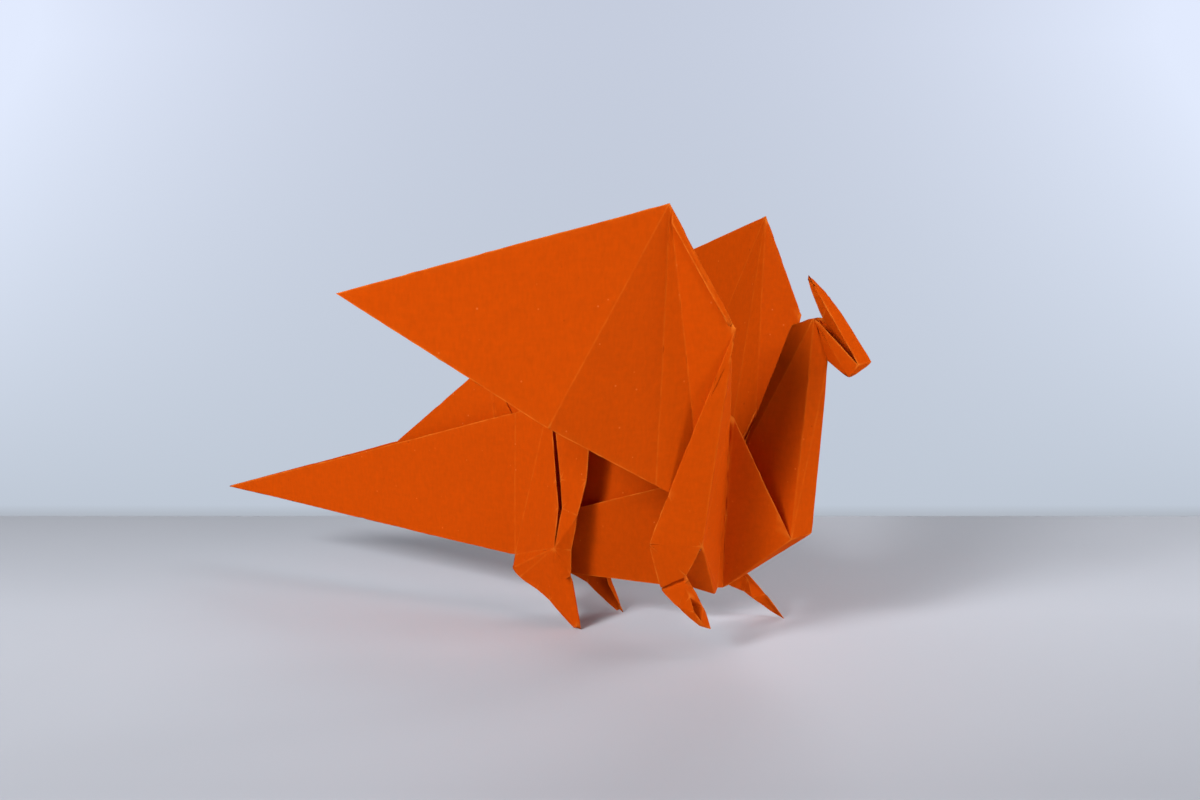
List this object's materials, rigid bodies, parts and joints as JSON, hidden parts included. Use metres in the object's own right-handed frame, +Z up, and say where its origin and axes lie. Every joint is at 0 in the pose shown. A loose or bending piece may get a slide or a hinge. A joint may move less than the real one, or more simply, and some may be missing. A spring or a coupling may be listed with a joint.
{
  "type": "origami dragon",
  "caption": "Standing folded-paper dragon with raised fan-pleated wings, a long flat tail, an upright neck and small pointed feet.",
  "frame": {"origin": "centre of the bounding box in plan, on the surface the feet stand on", "axes": "+X from the tail to the head, +Y to the dragon's left, +Z up"},
  "size_m": [0.1826, 0.1412, 0.0999],
  "materials": {
    "paper": "matt coloured craft paper, orange all through"
  },
  "bodies": {
    "root": {"folded_sheet": "paper"}
  },
  "joints": []
}
